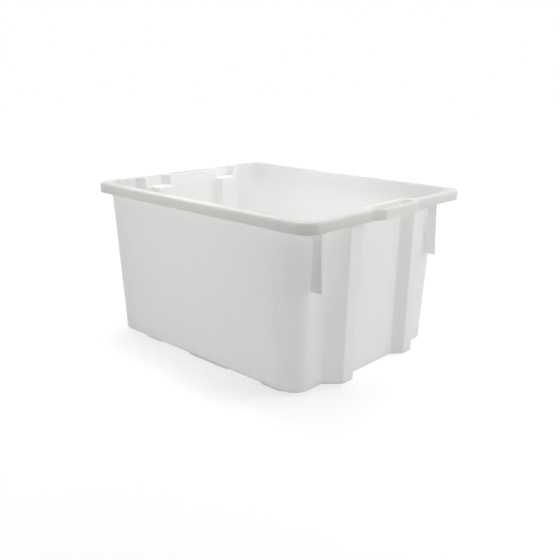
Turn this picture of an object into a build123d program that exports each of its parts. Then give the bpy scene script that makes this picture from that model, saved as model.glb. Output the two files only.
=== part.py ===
from build123d import *
import math
import os

os.makedirs("parts", exist_ok=True)

# A harvest crate that nests in one facing the same way and stacks on one turned round. It is one moulding,
# built here as the sections that the moulding is made of, which meet face to face. The sections are drawn about
# the middle of the rim, and the finished pieces stand over the middle of the whole crate, handle included, with
# the origin on the floor. +X points to the end whose columns stand outwards, -Y to the front long wall and +Z
# up. Sizes are in millimetres.

# Overall size over the rim
rim_length = 600
rim_width = 500
crate_height = 330

# Wall thickness, and how far the walls lean out over the whole height
wall = 2.5
end_draft = 8.5
side_draft = 17

# How far the rim stands out over the walls at its own height
end_overhang = 11.5
side_overhang = 16

# Rounding of the walls; all folds are rounder than the base edge, whose rounding runs round them
wall_corner_radius = 36
base_edge_radius = 2
fold_extra_radius = 1
column_fold_radius = 8

# Rim: a flat flange with a turned-down skirt
rim_skirt = 20
rim_wall = 3
rim_corner_radius = 34
rim_inner_radius = 1
rim_lip_radius = 2.5

# Handles: a slot for the fingers in the rim at each end, with a bar outside it. The rim bulges out at the right
# end, and stays straight round the narrower slot at the left end
handle_bulge = 11
handle_fold_gap = 20
handle_lead = 28
bulge_radius = 12
slot_overrun = 12
slot_width = 24
bar_flat = 0.5

# Columns at the right end, which stand out from the corner bays and the end panel and end in feet
foot_depth = 29
panel_depth = 19
foot_width = 30
foot_side_gap = 101

# Columns at the left end, which stand in from the end panel and are wider than the feet that they carry
recess_depth = 22
seat_inner_margin = 19
seat_outer_margin = 10
ridge_width = 18

# Stacking: seats this far below the rim, and the play of a foot in its pocket
seat_drop = 22
stack_clearance = 2

# Nest stops: gussets under the seats that hold a nested crate up, widest at the bottom
nest_pitch = 112
nest_stop_width = 23.5
nest_stop_lean = 4.5
nest_stop_wall = 3
nest_stop_inset = 5

# Pads along both long edges of the floor, with what is left free of them towards both corners
pad_height = 3
pad_width = 18
pad_middle_length = 120
pad_end_length = 52
pad_right_gap = 3
pad_left_gap = 56
pad_radius = 3

# The moulding is divided into sections this far clear of the nearest bend
section_margin = 6

# Levels
floor_top = pad_height + wall
seat_top = crate_height - seat_drop
seat_under = seat_top - wall
nest_stop_bottom = seat_top - nest_pitch
skirt_bottom = crate_height - rim_skirt
flange_under = crate_height - rim_wall

# Reach of the walls from the middle, at floor level
side_reach = rim_width / 2 - side_overhang - side_draft
foot_reach = rim_length / 2 - end_overhang - end_draft
bay_reach = foot_reach - foot_depth
panel_reach = foot_reach - panel_depth
recess_reach = panel_reach - recess_depth

# Stations across the end walls, from the middle line, at floor level
foot_outer = side_reach - foot_side_gap
foot_inner = foot_outer - foot_width
recess_inner = foot_inner - seat_inner_margin
recess_outer = foot_outer + seat_outer_margin

# The straight middle of the handles lies between the folds of the right end panel
handle_half_length = foot_inner - panel_depth - handle_fold_gap

# Roundings that follow from others, and the width of the bar between its two rounded edges
fold_radius = base_edge_radius + fold_extra_radius
rim_edge_radius = rim_inner_radius + rim_wall
bar_width = rim_edge_radius + bar_flat + rim_lip_radius

# A fold at 45 degrees moves along the wall by this share of the distance that its faces move out, and its
# rounding takes up this share of its radius on both sides of it
fold_lean = math.tan(math.radians(45) / 2)


def end_lean(z):
    """Outward lean of the end walls at a height."""
    return end_draft * z / crate_height


def side_half(z):
    """Half width over the long walls at a height."""
    return side_reach + side_draft * z / crate_height


# The pocket in the left end takes a foot of the right end with the stacking clearance, and the rounded outer
# corner of the pocket lies along the foot's outer fold
shoulder_reach = foot_reach + stack_clearance + wall - end_lean(seat_top)
pocket_inner = foot_inner + fold_lean * (end_lean(seat_top) - wall - stack_clearance)
pocket_outer = foot_outer + panel_depth - 2 * (end_lean(seat_top) - wall)
ridge_outer = pocket_outer + ridge_width

# Finger slots: the right one lies in the bulge, and the left one takes what the bar and an equal flat beside the
# panel's rounded lip leave free
slot_length = 2 * (handle_half_length + slot_overrun)
right_slot_reach = rim_length / 2 + handle_bulge - bar_width - slot_width / 2
left_slot_outer = rim_length / 2 - bar_width
left_slot_inner = panel_reach + end_draft - wall + 2 * rim_lip_radius + bar_flat
left_slot_width = left_slot_outer - left_slot_inner
left_slot_reach = (left_slot_outer + left_slot_inner) / 2

# Only the right end is longer by its handle, so the finished pieces move back by half of that
middle_shift = -handle_bulge / 2

# Middle of the nest stops
right_stop_y = side_half(nest_stop_bottom) - wall_corner_radius - nest_stop_inset
left_stop_y = (recess_inner + recess_outer) / 2

# Places of the base pads
pad_edge = side_reach - base_edge_radius
right_pad_x = bay_reach - wall_corner_radius - pad_right_gap - pad_end_length / 2
left_pad_x = pad_left_gap + pad_end_length / 2 - shoulder_reach + wall_corner_radius
middle_pad_x = (left_pad_x + right_pad_x) / 2

# Each end wall from its corner to the middle: reach, station, and how the station moves as the wall leans out
shoulder_depth = shoulder_reach - panel_reach
right_lower = [
    (bay_reach, foot_outer + foot_depth, fold_lean),
    (foot_reach, foot_outer, fold_lean),
    (foot_reach, foot_inner, -fold_lean),
    (panel_reach, foot_inner - panel_depth, -fold_lean),
]
right_upper = right_lower[2:]
left_ridge = [
    (shoulder_reach, ridge_outer + shoulder_depth, -fold_lean),
    (panel_reach, ridge_outer, -fold_lean),
]
left_lower = left_ridge + [
    (panel_reach, recess_outer, -1),
    (recess_reach, recess_outer, -1),
    (recess_reach, recess_inner, 1),
    (panel_reach, recess_inner, 1),
]
left_upper = left_ridge + [
    (panel_reach, pocket_outer, 1),
    (shoulder_reach, pocket_outer, 1),
    (shoulder_reach, pocket_inner, -fold_lean),
    (panel_reach, pocket_inner - shoulder_depth, -fold_lean),
]


def wall_section(z, right, left, inset=0):
    """Plan of the tub at a height, set in from its outer face."""
    lean = end_lean(z) - inset
    half = side_half(z) - inset
    right_half = [(reach + lean, station + way * lean) for reach, station, way in right]
    left_half = [(reach + lean, station + way * lean) for reach, station, way in left]
    right_half.insert(0, (right_half[0][0], half))
    left_half.insert(0, (left_half[0][0], half))
    outline = [(x, -y) for x, y in right_half] + right_half[::-1]
    outline += [(-x, y) for x, y in left_half] + [(-x, -y) for x, y in left_half[::-1]]
    corner_radius = wall_corner_radius - inset
    with BuildSketch(Plane.XY.offset(z)) as section:
        with BuildLine():
            Polyline(*outline, close=True)
        make_face()
        rows = section.vertices().group_by(lambda v: abs(v.Y))
        fillet(rows[-1], corner_radius)
        for way, radius in ((1, column_fold_radius), (-1, fold_radius)):
            folds = section.vertices().filter_by(lambda v: abs(v.Y) < half - corner_radius - section_margin)
            fillet(folds.filter_by(lambda v: way * v.X > 0), radius)
    return section.sketch


def rim_section(z, inset=0):
    """Plan of the rim at a height, set in from its outer face, with the bulge of the right handle."""
    end = rim_length / 2 - inset
    side = rim_width / 2 - inset
    right_quarter = [
        (end, side),
        (end, handle_half_length + handle_lead),
        (end + handle_bulge, handle_half_length),
    ]
    outline = [(x, -y) for x, y in right_quarter] + right_quarter[::-1]
    outline += [(-end, side), (-end, -side)]
    with BuildSketch(Plane.XY.offset(z)) as section:
        with BuildLine():
            Polyline(*outline, close=True)
        make_face()
        rows = section.vertices().group_by(lambda v: abs(v.Y))
        fillet(rows[-1], rim_corner_radius - inset)
        bends = section.vertices().filter_by(lambda v: abs(v.Y) < side - rim_corner_radius - section_margin)
        fillet(bends, bulge_radius)
    return section.sketch


def stop_outline(reach, way):
    """Side view of a nest stop that stands out from a wall at this reach, to the right for 1, left for -1."""
    foot = reach + end_lean(nest_stop_bottom)
    head = reach + end_lean(seat_under)
    edge = foot + nest_stop_width
    top_edge = edge - nest_stop_lean
    corners = [(foot, nest_stop_bottom), (edge, nest_stop_bottom), (top_edge, seat_under), (head, seat_under)]
    return [(way * x, z) for x, z in corners]


# Where the moulding is divided into its sections, clear of the bends beside each cut
right_corner_x = bay_reach - wall_corner_radius - section_margin
left_corner_x = shoulder_reach - wall_corner_radius - section_margin
column_margin = fold_lean * column_fold_radius + section_margin
right_corner_y = right_lower[0][1] + fold_lean * end_lean(seat_under) + column_margin
left_corner_y = left_ridge[0][1] + section_margin
right_panel_y = right_lower[-1][1] - fold_lean * end_lean(crate_height) - column_margin
left_panel_y = recess_inner - wall - section_margin
right_seat_x = bay_reach + end_lean(seat_top) - wall_corner_radius / 2
rim_corner_x = left_corner_x
rim_corner_y = side_half(crate_height) - wall_corner_radius - section_margin
handle_y = handle_half_length + handle_lead + section_margin

# Spans of space that the sections lie in
whole_length = (-rim_length, rim_length)
whole_width = (-rim_width, rim_width)
right_half = (0, rim_length)
left_half = (-rim_length, 0)
front_half = (-rim_width, 0)
wall_rise = (floor_top, flange_under)
lower_rise = (floor_top, seat_under)
seat_rise = (seat_under, seat_top)
pocket_rise = (seat_under, flange_under)
rim_rise = (skirt_bottom, crate_height)


def keep(x_range, y_range, z_range):
    """Keep what lies in a block of space, given by its ranges along X, Y and Z."""
    spans = [x_range, y_range, z_range]
    with Locations(tuple((low + high) / 2 for low, high in spans)):
        Box(*(high - low for low, high in spans), mode=Mode.INTERSECT)


def save(piece, name):
    """Set a finished piece over the middle of the crate, name it and write it out."""
    finished = piece.part.moved(Location((middle_shift, 0, 0)))
    finished.label = name
    export_step(finished, f"parts/{name}.step")


def save_pair(front, name):
    """Write a piece of the front half, with {} in its name for the side, and its mirror image at the back."""
    with BuildPart() as back:
        mirror(front.part, about=Plane.XZ)
    save(front, name.format("front"))
    save(back, name.format("back"))


# The inside of the tub below the seats
with BuildPart() as lower_hollow:
    loft([wall_section(z, right_lower, left_lower, wall) for z in (floor_top, seat_top)], ruled=True)
    fillet(lower_hollow.faces().sort_by(Axis.Z)[0].edges(), base_edge_radius)

# The whole tub: floor and walls, with the lower walls stepping out to the upper walls at the seats
with BuildPart() as tub:
    loft([wall_section(z, right_lower, left_lower) for z in (pad_height, seat_under)], ruled=True)
    fillet(tub.faces().sort_by(Axis.Z)[0].edges(), base_edge_radius)
    loft([wall_section(z, right_upper, left_upper) for z in (seat_under, flange_under)], ruled=True)
    add(lower_hollow.part, mode=Mode.SUBTRACT)
    upper_inside = [wall_section(z, right_upper, left_upper, wall) for z in (seat_top, flange_under)]
    loft(upper_inside, ruled=True, mode=Mode.SUBTRACT)

# The space that the seats fill, inside the upper walls
with BuildPart() as seat_space:
    loft([wall_section(z, right_upper, left_upper, wall) for z in seat_rise], ruled=True)

# The space under the rim, between its skirt and the walls
with BuildPart() as rim_hollow:
    extrude(rim_section(skirt_bottom, rim_wall), amount=rim_skirt - rim_wall)
    fillet(rim_hollow.faces().sort_by(Axis.Z)[-1].edges(), rim_inner_radius)

# The whole rim: flange and skirt, open over the tub, with a finger slot at each end
with BuildPart() as rim:
    extrude(rim_section(skirt_bottom), amount=rim_skirt)
    fillet(rim.faces().sort_by(Axis.Z)[-1].edges(), rim_edge_radius)
    add(rim_hollow.part, mode=Mode.SUBTRACT)
    mouth = [wall_section(z, right_upper, left_upper, wall) for z in (flange_under, crate_height)]
    loft(mouth, ruled=True, mode=Mode.SUBTRACT)
    with BuildSketch(Plane.XY.offset(flange_under)):
        for slot_x, width in ((right_slot_reach, slot_width), (-left_slot_reach, left_slot_width)):
            with Locations((slot_x, 0)):
                SlotOverall(slot_length, width, rotation=90)
    extrude(amount=rim_wall, mode=Mode.SUBTRACT)
    lips = rim.faces().sort_by(Axis.Z)[-1].inner_wires().edges()
    fillet(lips, rim_lip_radius)

# Floor of the crate
with BuildPart() as base_pan:
    add(tub.part)
    keep(whole_length, whole_width, (pad_height, floor_top))
save(base_pan, "base_pan")

# Pads that the crate stands on, under both long edges of the floor
for place, pad_x, pad_length in (
    ("left", left_pad_x, pad_end_length),
    ("middle", middle_pad_x, pad_middle_length),
    ("right", right_pad_x, pad_end_length),
):
    with BuildPart() as base_pad:
        with BuildSketch():
            with Locations((pad_x, pad_width / 2 - pad_edge)):
                RectangleRounded(pad_length, pad_width, pad_radius)
        extrude(amount=pad_height)
    save_pair(base_pad, "{}_base_pad_" + place)

# Long walls, from the floor to the rim
with BuildPart() as side_wall:
    add(tub.part)
    keep((-left_corner_x, right_corner_x), front_half, wall_rise)
save_pair(side_wall, "{}_wall")

# Corner posts: up to the seats at the right end, up to the rim at the left end
with BuildPart() as right_corner:
    add(tub.part)
    keep((right_corner_x, rim_length), (-rim_width, -right_corner_y), lower_rise)
save_pair(right_corner, "right_{}_corner")

with BuildPart() as left_corner:
    add(tub.part)
    keep((-rim_length, -left_corner_x), (-rim_width, -left_corner_y), wall_rise)
save_pair(left_corner, "left_{}_corner")

# Flat panels in the middle of both ends
with BuildPart() as right_panel:
    add(tub.part)
    keep(right_half, (-right_panel_y, right_panel_y), wall_rise)
save(right_panel, "right_end_panel")

with BuildPart() as left_panel:
    add(tub.part)
    keep(left_half, (-left_panel_y, left_panel_y), wall_rise)
save(left_panel, "left_end_panel")

# Columns: the right ones stand out and end in the feet, the left ones stand in and carry seats
with BuildPart() as right_column:
    add(tub.part)
    keep(right_half, (-right_corner_y, -right_panel_y), lower_rise)
save_pair(right_column, "right_{}_column")

with BuildPart() as left_column:
    add(tub.part)
    keep(left_half, (-left_corner_y, -left_panel_y), lower_rise)
save_pair(left_column, "left_{}_column")

# Seats that the feet of a crate above stand on
with BuildPart() as right_seat:
    add(tub.part)
    keep((right_seat_x, rim_length), (-rim_width, -right_panel_y), seat_rise)
    add(seat_space.part, mode=Mode.INTERSECT)
save_pair(right_seat, "right_{}_seat")

with BuildPart() as left_seat:
    add(tub.part)
    keep(left_half, (-left_corner_y, -left_panel_y), seat_rise)
    add(seat_space.part, mode=Mode.INTERSECT)
save_pair(left_seat, "left_{}_seat")

# Pocket walls, which hold the feet of a crate above on its seats
with BuildPart() as right_pocket:
    add(tub.part)
    keep((right_corner_x, rim_length), (-rim_width, -right_panel_y), pocket_rise)
    add(right_seat.part, mode=Mode.SUBTRACT)
save_pair(right_pocket, "right_{}_pocket")

with BuildPart() as left_pocket:
    add(tub.part)
    keep(left_half, (-left_corner_y, -left_panel_y), pocket_rise)
    add(left_seat.part, mode=Mode.SUBTRACT)
save_pair(left_pocket, "left_{}_pocket")

# Nest stops, each a gusset between a wall and the seat over it
with BuildPart() as right_stop:
    with BuildSketch(Plane.XZ.offset(right_stop_y)):
        with BuildLine():
            Polyline(*stop_outline(bay_reach, 1), close=True)
        make_face()
    extrude(amount=nest_stop_wall / 2, both=True)
save_pair(right_stop, "right_{}_nest_stop")

with BuildPart() as left_stop:
    with BuildSketch(Plane.XZ.offset(left_stop_y)):
        with BuildLine():
            Polyline(*stop_outline(recess_reach, -1), close=True)
        make_face()
    extrude(amount=nest_stop_wall / 2, both=True)
save_pair(left_stop, "left_{}_nest_stop")

# Rim along the long sides
with BuildPart() as side_rim:
    add(rim.part)
    keep((-rim_corner_x, rim_corner_x), front_half, rim_rise)
save_pair(side_rim, "{}_rim")

# Rim round the corners, the rails beside the handles, and the handles
for end, toward_end, past_corner in (
    ("right", right_half, (rim_corner_x, rim_length)),
    ("left", left_half, (-rim_length, -rim_corner_x)),
):
    with BuildPart() as rim_corner:
        add(rim.part)
        keep(past_corner, (-rim_width, -rim_corner_y), rim_rise)
    save_pair(rim_corner, end + "_{}_rim_corner")

    with BuildPart() as rim_rail:
        add(rim.part)
        keep(toward_end, (-rim_corner_y, -handle_y), rim_rise)
    save_pair(rim_rail, end + "_{}_rim_rail")

    with BuildPart() as handle:
        add(rim.part)
        keep(toward_end, (-handle_y, handle_y), rim_rise)
    save(handle, end + "_handle")
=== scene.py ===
import math
import bpy
from mathutils import Matrix, Vector


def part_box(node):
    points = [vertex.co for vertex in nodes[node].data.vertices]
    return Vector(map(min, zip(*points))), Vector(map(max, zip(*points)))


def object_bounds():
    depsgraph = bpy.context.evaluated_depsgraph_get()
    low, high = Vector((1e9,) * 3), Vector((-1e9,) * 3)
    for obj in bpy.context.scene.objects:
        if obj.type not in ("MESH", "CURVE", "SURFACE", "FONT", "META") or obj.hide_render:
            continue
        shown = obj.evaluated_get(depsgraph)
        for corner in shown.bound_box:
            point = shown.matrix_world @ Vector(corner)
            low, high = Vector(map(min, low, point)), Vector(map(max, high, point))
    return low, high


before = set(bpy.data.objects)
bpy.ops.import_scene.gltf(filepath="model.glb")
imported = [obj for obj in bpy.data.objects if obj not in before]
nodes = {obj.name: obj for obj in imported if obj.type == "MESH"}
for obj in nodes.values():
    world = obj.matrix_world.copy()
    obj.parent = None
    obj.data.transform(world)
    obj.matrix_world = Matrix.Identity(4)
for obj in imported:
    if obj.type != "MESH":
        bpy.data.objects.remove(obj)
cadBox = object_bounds()
crateMiddle = (cadBox[0] + cadBox[1]) / 2
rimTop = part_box("front_rim")[1].z
print("frame: %d nodes, %.3f m high" % (len(nodes), rimTop))


# small helpers for shader trees
def addNode(tree, kind, at=(0, 0), **values):
    node = tree.nodes.new(kind)
    node.location = at
    for key, value in values.items():
        if key in node.inputs:
            node.inputs[key].default_value = value
        else:
            setattr(node, key, value)
    return node


def feed(tree, socket, value):
    if isinstance(value, bpy.types.NodeSocket):
        tree.links.new(value, socket)
    else:
        socket.default_value = value


def addMath(tree, operation, values, at):
    node = addNode(tree, "ShaderNodeMath", at, operation=operation)
    for socket, value in zip(node.inputs, values):
        feed(tree, socket, value)
    return node.outputs[0]


# a Mix node has its numbers and its colours on sockets of their own: first, second, result
mixSockets = {"FLOAT": (2, 3, 0), "RGBA": (6, 7, 2)}


def addMix(tree, kind, factor, first, second, at):
    mix = addNode(tree, "ShaderNodeMix", at, data_type=kind)
    firstPlace, secondPlace, resultPlace = mixSockets[kind]
    feed(tree, mix.inputs[0], factor)
    feed(tree, mix.inputs[firstPlace], first)
    feed(tree, mix.inputs[secondPlace], second)
    return mix.outputs[resultPlace]


def addRange(tree, value, spanIn, at, spanOut=(0.0, 1.0), curve="LINEAR"):
    node = addNode(tree, "ShaderNodeMapRange", at, clamp=True, interpolation_type=curve)
    for key, number in zip(("From Min", "From Max", "To Min", "To Max"), spanIn + spanOut):
        node.inputs[key].default_value = number
    tree.links.new(value, node.inputs["Value"])
    return node.outputs[0]


def addNoise(tree, vector, scale, detail, at, stretch=(1.0, 1.0, 1.0), turn=(0.0, 0.0, 0.0)):
    place = addNode(tree, "ShaderNodeMapping", (at[0] - 220, at[1]), Scale=stretch, Rotation=turn)
    tree.links.new(vector, place.inputs["Vector"])
    noise = addNode(tree, "ShaderNodeTexNoise", at, Scale=scale, Detail=detail)
    tree.links.new(place.outputs[0], noise.inputs["Vector"])
    return noise.outputs[0]


def newGroup(name, inputs, outputs):
    group = bpy.data.node_groups.new(name, "ShaderNodeTree")
    for way, labels in (("INPUT", inputs), ("OUTPUT", outputs)):
        for label in labels:
            group.interface.new_socket(label, in_out=way, socket_type="NodeSocketFloat")
    start = addNode(group, "NodeGroupInput", (-1200, 200))
    where = addNode(group, "ShaderNodeTexCoord", (-1200, 0)).outputs["Object"]
    end = addNode(group, "NodeGroupOutput", (700, 0))
    return group, start.outputs, where, end.inputs


# milky clouds in the plastic, with upright streaks where it flowed up the walls
flowLook = {
    "cloudScale": 7.0,
    "cloudDetail": 5.0,
    "streakScale": 34.0,
    "streakDetail": 3.0,
    "streakStretch": (1.0, 1.0, 0.10),
    "milkSpan": (0.50, 0.95),
    "streakSpan": (0.35, 0.65),
}


def makeMilkyFlow(look):
    group, given, where, made = newGroup("milkyFlow", ["Streak Share"], ["Milk", "Streak"])
    clouds = addNoise(group, where, look["cloudScale"], look["cloudDetail"], (-600, 200))
    streaks = addNoise(
        group, where, look["streakScale"], look["streakDetail"], (-600, -200), look["streakStretch"]
    )
    both = addMath(group, "MULTIPLY_ADD", (streaks, given["Streak Share"], clouds), (-300, 100))
    group.links.new(addRange(group, both, look["milkSpan"], (0, 100)), made["Milk"])
    group.links.new(addRange(group, streaks, look["streakSpan"], (0, -200)), made["Streak"])
    return group


# fine spark-eroded grain of the mould, with faint draw lines where the moulding slid out of it
grainLook = {
    "grainScale": 1400.0,
    "lineScale": 420.0,
    "lineStretch": (1.0, 1.0, 0.012),
    "detail": 2.0,
}


def makeMouldGrain(look):
    group, given, where, made = newGroup("mouldGrain", ["Line Share"], ["Height"])
    grain = addNoise(group, where, look["grainScale"], look["detail"], (-600, 200))
    lines = addNoise(group, where, look["lineScale"], look["detail"], (-600, -200), look["lineStretch"])
    height = addMath(group, "MULTIPLY_ADD", (lines, given["Line Share"], grain), (-200, 0))
    group.links.new(height, made["Height"])
    return group


# thin rubbed scratches in two directions, in patches
scuffLook = {
    "scale": 9.0,
    "detail": 2.0,
    "stretch": (1.0, 46.0, 46.0),
    "turns": ((0.3, 0.2, 0.5), (0.3, 0.2, 2.2)),
    "cutSpan": (0.66, 0.74),
    "patchScale": 6.0,
    "patchDetail": 3.0,
    "patchSpan": (0.45, 0.65),
}


def makeScuffs(look):
    group, given, where, made = newGroup("handlingScuffs", ["Amount"], ["Scuff"])
    cuts = []
    for row, turn in enumerate(look["turns"]):
        level = 300 - 300 * row
        lines = addNoise(group, where, look["scale"], look["detail"], (-600, level), look["stretch"], turn)
        cuts.append(addRange(group, lines, look["cutSpan"], (-300, level)))
    crossed = addMath(group, "MAXIMUM", cuts, (0, 200))
    patches = addNoise(group, where, look["patchScale"], look["patchDetail"], (-600, -400))
    worn = addRange(group, patches, look["patchSpan"], (-300, -400))
    shown = addMath(group, "MULTIPLY", (crossed, worn), (250, 0))
    rubbed = addMath(group, "MULTIPLY", (shown, given["Amount"]), (450, 0))
    group.links.new(rubbed, made["Scuff"])
    return group


milkyFlow = makeMilkyFlow(flowLook)
mouldGrain = makeMouldGrain(grainLook)
handlingScuffs = makeScuffs(scuffLook)
print("shared effects: %d" % len(bpy.data.node_groups))

# natural polyethylene: "through" is the share of light that passes, tinted by "glow"
sheetLook = {
    "ior": 1.53,
    "rubbedTint": (0.97, 0.97, 0.96, 1.0),
    "rubbedRise": -0.6,  # a scratch lies lower than the grain
    "reliefDepth": 0.0004,
    "streaks": 0.45,
    "drawLines": 0.5,
}
wallLook = dict(sheetLook)
wallLook.update({
    "name": "wallPlastic",
    "clear": (0.944, 0.947, 0.938, 1.0),
    "milky": (0.988, 0.986, 0.990, 1.0),
    "glow": (0.985, 0.985, 0.965, 1.0),
    "through": 0.33,
    "smooth": 0.36,
    "dull": 0.50,
    "grain": 0.10,
    "scuff": 0.25,
})
# the rim is warmer, smoother and more rubbed
rimLook = dict(sheetLook)
rimLook.update({
    "name": "rimPlastic",
    "clear": (0.915, 0.902, 0.878, 1.0),
    "milky": (0.958, 0.946, 0.930, 1.0),
    "glow": (0.960, 0.948, 0.928, 1.0),
    "through": 0.37,
    "smooth": 0.34,
    "dull": 0.48,
    "grain": 0.08,
    "scuff": 0.6,
})
# the floor and its pads are the most scuffed
floorLook = dict(sheetLook)
floorLook.update({
    "name": "floorPlastic",
    "clear": (0.944, 0.946, 0.938, 1.0),
    "milky": (0.986, 0.984, 0.986, 1.0),
    "glow": (0.970, 0.970, 0.950, 1.0),
    "through": 0.34,
    "smooth": 0.40,
    "dull": 0.56,
    "grain": 0.10,
    "scuff": 0.8,
})
# the nest stops stand clear of the walls and let less light through; their darker tint is painted shade,
# for the shade they sit in under the rim
shadedStopLook = dict(wallLook)
shadedStopLook.update({
    "name": "shadedStopPlastic",
    # darker clear and milky tints: painted shade
    "clear": (0.905, 0.905, 0.899, 1.0),
    "milky": (0.935, 0.935, 0.931, 1.0),
    "through": 0.28,
})
# little light is lost through the seats and the pockets over them, so they are the palest
seatLook = dict(floorLook)
seatLook.update({
    "name": "seatPlastic",
    "through": 0.27,
})


def makePlastic(look):
    material = bpy.data.materials.new(look["name"])
    material.use_nodes = True
    tree = material.node_tree
    link = tree.links.new
    shader = tree.nodes["Principled BSDF"]
    shader.inputs["IOR"].default_value = look["ior"]

    flow = addNode(tree, "ShaderNodeGroup", (-1200, 300), node_tree=milkyFlow)
    flow.inputs["Streak Share"].default_value = look["streaks"]
    grain = addNode(tree, "ShaderNodeGroup", (-1200, -200), node_tree=mouldGrain)
    grain.inputs["Line Share"].default_value = look["drawLines"]
    scuffs = addNode(tree, "ShaderNodeGroup", (-1200, 0), node_tree=handlingScuffs)
    scuffs.inputs["Amount"].default_value = look["scuff"]
    rubbed = scuffs.outputs["Scuff"]

    tint = addMix(tree, "RGBA", flow.outputs["Milk"], look["clear"], look["milky"], (-800, 300))
    colour = addMix(tree, "RGBA", rubbed, tint, look["rubbedTint"], (-550, 250))
    link(colour, shader.inputs["Base Color"])
    wear = addMath(tree, "MAXIMUM", (flow.outputs["Streak"], rubbed), (-800, 50))
    dull = addRange(tree, wear, (0.0, 1.0), (-550, 50), (look["smooth"], look["dull"]))
    link(dull, shader.inputs["Roughness"])
    relief = addMath(
        tree, "MULTIPLY_ADD", (rubbed, look["rubbedRise"], grain.outputs["Height"]), (-800, -200)
    )
    bump = addNode(tree, "ShaderNodeBump", (-550, -200), Strength=look["grain"])
    bump.inputs["Distance"].default_value = look["reliefDepth"]
    link(relief, bump.inputs["Height"])
    link(bump.outputs[0], shader.inputs["Normal"])

    glow = addNode(tree, "ShaderNodeBsdfTranslucent", (0, -300), Color=look["glow"])
    link(bump.outputs[0], glow.inputs["Normal"])
    both = addNode(tree, "ShaderNodeMixShader", (300, 100), Fac=look["through"])
    link(shader.outputs[0], both.inputs[1])
    link(glow.outputs[0], both.inputs[2])

    # faces met from inside the plastic let light pass, so each wall dims it once
    inner = addNode(tree, "ShaderNodeNewGeometry", (300, 400))
    passing = addNode(tree, "ShaderNodeBsdfTransparent", (300, -100))
    sheet = addNode(tree, "ShaderNodeMixShader", (550, 200))
    link(inner.outputs["Backfacing"], sheet.inputs[0])
    link(both.outputs[0], sheet.inputs[1])
    link(passing.outputs[0], sheet.inputs[2])
    end = tree.nodes["Material Output"]
    end.location = (800, 200)
    link(sheet.outputs[0], end.inputs["Surface"])
    return material


plastics = {}
for look in (wallLook, rimLook, floorLook, shadedStopLook, seatLook):
    plastics[look["name"]] = makePlastic(look)

# words in a node's name that give its plastic; the other nodes are walls
finishWords = {
    "rim": "rimPlastic",
    "handle": "rimPlastic",
    "base": "floorPlastic",
    "seat": "seatPlastic",
    "pocket": "seatPlastic",
    "nest_stop": "shadedStopPlastic",
}


def plasticFor(name):
    for word, finish in finishWords.items():
        if word in name:
            return plastics[finish]
    return plastics["wallPlastic"]


for name, node in nodes.items():
    node.data.materials.clear()
    node.data.materials.append(plasticFor(name))
print("finish: %d plastics on %d nodes" % (len(plastics), len(nodes)))

# the photo's view: angles in degrees, place in metres
photoView = {
    "yaw": 42.383,
    "pitch": 17.058,
    "roll": 0.648,
    "focalPixels": 698.684,
    "imagePixels": 560,
    "sensor": 36.0,
    "clipEnd": 50.0,
    "place": (0.9888, -1.0761, 0.5707),
}


def makeCamera(view):
    yaw, pitch, roll = (math.radians(view[key]) for key in ("yaw", "pitch", "roll"))
    level = math.cos(pitch)
    ahead = Vector((-math.sin(yaw) * level, math.cos(yaw) * level, -math.sin(pitch)))
    right = Vector((math.cos(yaw), math.sin(yaw), 0.0))
    up = right.cross(ahead)
    tiltedRight = math.cos(roll) * right + math.sin(roll) * up
    tiltedUp = -math.sin(roll) * right + math.cos(roll) * up
    lens = bpy.data.cameras.new("photoCamera")
    lens.sensor_fit = "HORIZONTAL"
    lens.sensor_width = view["sensor"]
    lens.lens = view["focalPixels"] * view["sensor"] / view["imagePixels"]
    lens.clip_end = view["clipEnd"]
    camera = bpy.data.objects.new("photoCamera", lens)
    bpy.context.scene.collection.objects.link(camera)
    turn = Matrix((tiltedRight, tiltedUp, -ahead)).transposed()
    camera.matrix_world = Matrix.Translation(view["place"]) @ turn.to_4x4()
    return camera


camera = makeCamera(photoView)
bpy.context.scene.camera = camera
print("camera: %.1f mm lens" % camera.data.lens)

# white paper that glows more with distance; the crate meets it greyer than the camera sees it
paperLook = {
    "size": 14.0,
    "roughness": 0.9,
    "seenTint": (0.90, 0.90, 0.90, 1.0),
    "bounceTint": (0.34, 0.34, 0.34, 1.0),
    "glowTint": (1.0, 1.0, 1.0, 1.0),
    "bounceGlow": 0.31,
    "seenGlow": (0.37, 1.0),
    "seenSpan": (0.8, 2.4),
}


def makeFloor(look):
    half = look["size"] / 2
    mesh = bpy.data.meshes.new("studioFloor")
    corners = [(-half, -half, 0.0), (half, -half, 0.0), (half, half, 0.0), (-half, half, 0.0)]
    mesh.from_pydata(corners, [], [(0, 1, 2, 3)])
    floor = bpy.data.objects.new("studioFloor", mesh)
    bpy.context.scene.collection.objects.link(floor)
    paper = bpy.data.materials.new("studioPaper")
    paper.use_nodes = True
    tree = paper.node_tree
    shader = tree.nodes["Principled BSDF"]
    shader.inputs["Roughness"].default_value = look["roughness"]
    shader.inputs["Emission Color"].default_value = look["glowTint"]
    seen = addNode(tree, "ShaderNodeLightPath", (-900, 0)).outputs["Is Camera Ray"]
    tint = addMix(tree, "RGBA", seen, look["bounceTint"], look["seenTint"], (-300, 200))
    tree.links.new(tint, shader.inputs["Base Color"])
    where = addNode(tree, "ShaderNodeTexCoord", (-900, -300)).outputs["Object"]
    reach = addNode(tree, "ShaderNodeVectorMath", (-700, -300), operation="LENGTH")
    tree.links.new(where, reach.inputs[0])
    sweep = addRange(tree, reach.outputs["Value"], look["seenSpan"], (-500, -300), look["seenGlow"])
    glow = addMix(tree, "FLOAT", seen, look["bounceGlow"], sweep, (-250, -200))
    tree.links.new(glow, shader.inputs["Emission Strength"])
    mesh.materials.append(paper)


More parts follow.
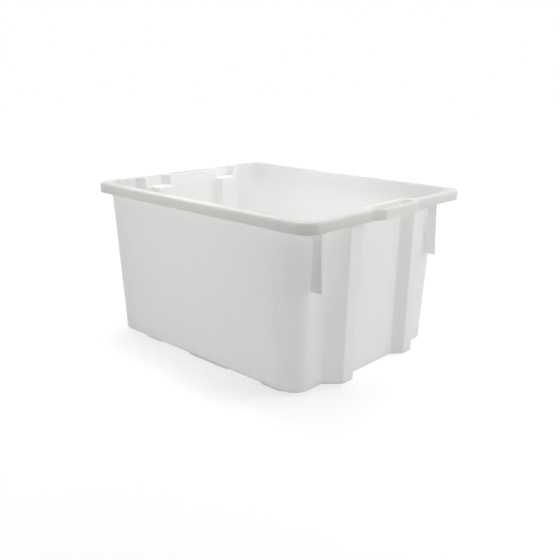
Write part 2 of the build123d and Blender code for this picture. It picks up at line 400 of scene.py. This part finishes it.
# the camera sees plain white; the crate is lit by a dim room with a brighter backdrop behind it
airLook = {
    "tint": (1.0, 1.0, 1.0, 1.0),
    "seenLight": 1.0,
    "backdropWay": (-0.67, 0.74, 0.10),
    "backdropSpan": (-0.3, 0.7),
    "roomToBackdrop": (0.08, 0.54),
}


def makeAir(look):
    world = bpy.data.worlds.new("studioAir")
    bpy.context.scene.world = world
    world.use_nodes = True
    tree = world.node_tree
    seen = addNode(tree, "ShaderNodeLightPath", (-900, 200)).outputs["Is Camera Ray"]
    way = addNode(tree, "ShaderNodeTexCoord", (-900, -100)).outputs["Generated"]
    facing = addNode(tree, "ShaderNodeVectorMath", (-700, -100), operation="DOT_PRODUCT")
    facing.inputs[1].default_value = look["backdropWay"]
    tree.links.new(way, facing.inputs[0])
    faced = facing.outputs["Value"]
    backdrop = addRange(
        tree, faced, look["backdropSpan"], (-500, -100), look["roomToBackdrop"], "SMOOTHSTEP"
    )
    strength = addMix(tree, "FLOAT", seen, backdrop, look["seenLight"], (-250, 0))
    air = tree.nodes["Background"]
    air.inputs["Color"].default_value = look["tint"]
    tree.links.new(strength, air.inputs["Strength"])
    bpy.context.scene.view_settings.view_transform = "Standard"


# a wide box overhead, two narrow ones that reach into the crate,
# and softer ones at the left front and the right back
boxLooks = {
    "overBox": {"place": (-0.30, 0.33, 1.5), "size": 3.0, "watts": 23.4, "spread": 180.0},
    "deepBox": {"place": (-0.06, -0.05, 0.95), "size": 0.3, "watts": 0.60, "spread": 62.0},
    "farBox": {"place": (0.45, -0.50, 1.05), "size": 0.3, "watts": 0.18, "spread": 40.0},
    "leftBox": {"place": (-1.3, -1.35, 0.8), "size": 1.0, "watts": 4.5, "spread": 180.0},
    "backBox": {"place": (0.97, 0.83, 0.70), "size": 0.8, "watts": 5.7, "spread": 180.0},
}
# this one points at the far corner, the others at the middle of the crate
boxLooks["farBox"]["aim"] = (-0.27, 0.20, 0.40)


def makeBox(name, look):
    light = bpy.data.lights.new(name, "AREA")
    light.size = look["size"]
    light.energy = look["watts"]
    light.spread = math.radians(look["spread"])
    box = bpy.data.objects.new(name, light)
    bpy.context.scene.collection.objects.link(box)
    box.visible_camera = False
    away = Vector(look["place"]) - Vector(look.get("aim", crateMiddle))
    turn = away.to_track_quat("Z", "Y").to_matrix()
    box.matrix_world = Matrix.Translation(look["place"]) @ turn.to_4x4()


makeFloor(paperLook)
makeAir(airLook)
for name, look in boxLooks.items():
    makeBox(name, look)
print("studio: %d lights" % len(boxLooks))
